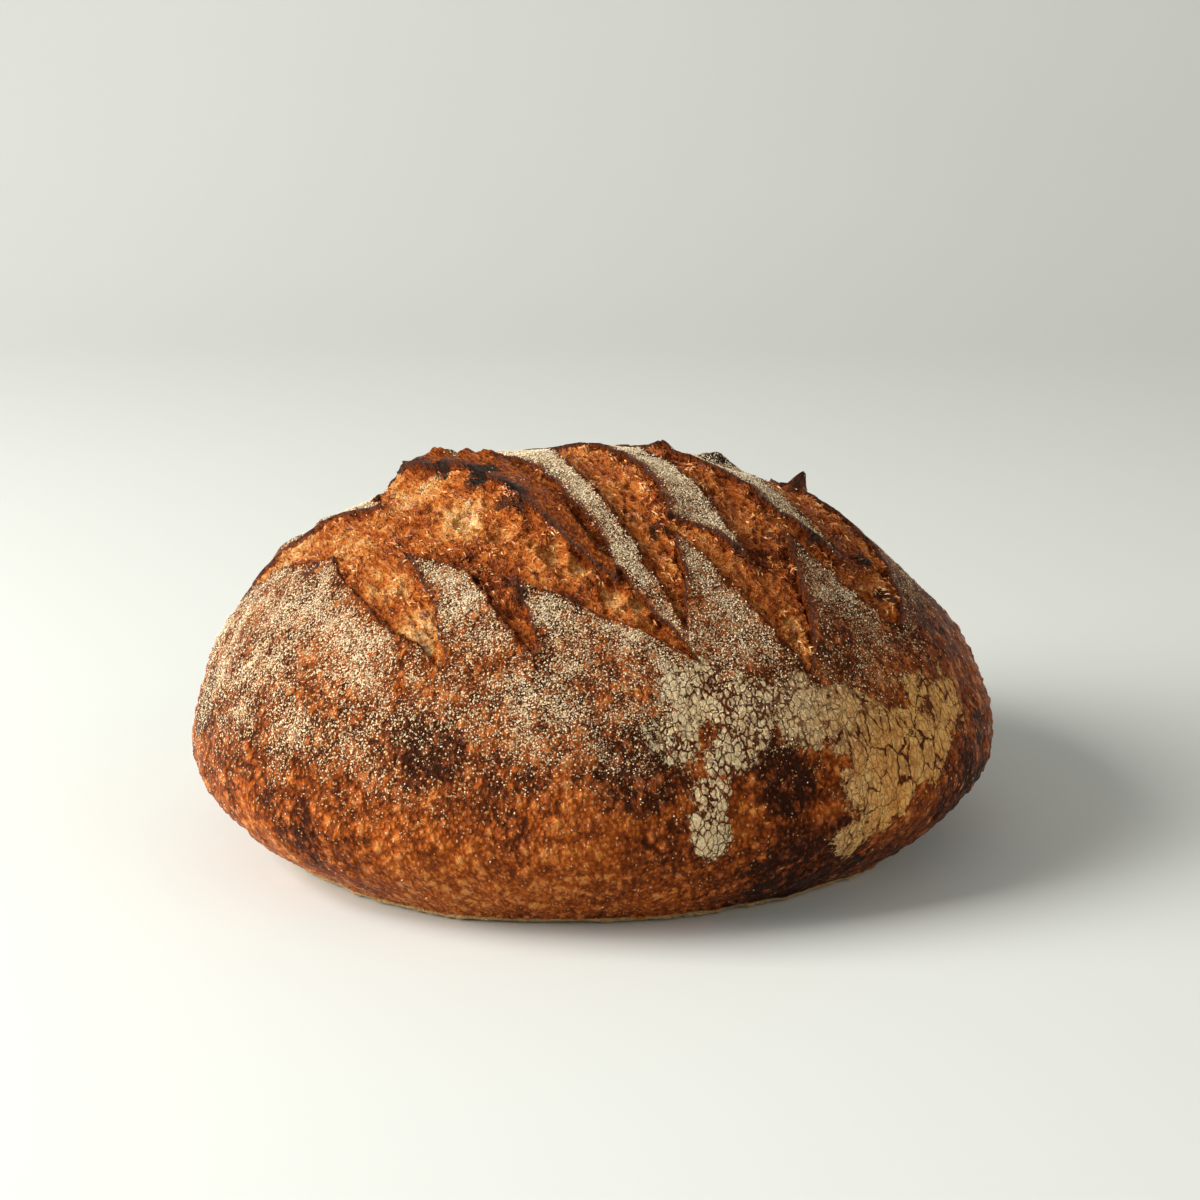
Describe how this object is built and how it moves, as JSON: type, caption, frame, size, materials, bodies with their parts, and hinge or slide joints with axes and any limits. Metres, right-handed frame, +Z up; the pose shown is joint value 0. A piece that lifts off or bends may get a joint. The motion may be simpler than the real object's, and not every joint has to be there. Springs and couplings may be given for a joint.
{
  "type": "sourdough loaf",
  "caption": "Round crusty loaf of sourdough bread with a flat base and long crossed slashes that opened into torn crumb under raised ears of crust.",
  "frame": {"origin": "under the middle of the loaf, on its flat base", "axes": "+X along the loaf's length, to the right when the opened front faces the viewer, +Y away from the viewer, +Z up"},
  "size_m": [0.2505, 0.2197, 0.122],
  "materials": {
    "crust": "baked bread crust, orange brown to dark brown, dusted with pale flour, matt with a slight gloss low down"
  },
  "bodies": {
    "root": {"loaf": "crust"}
  },
  "joints": []
}
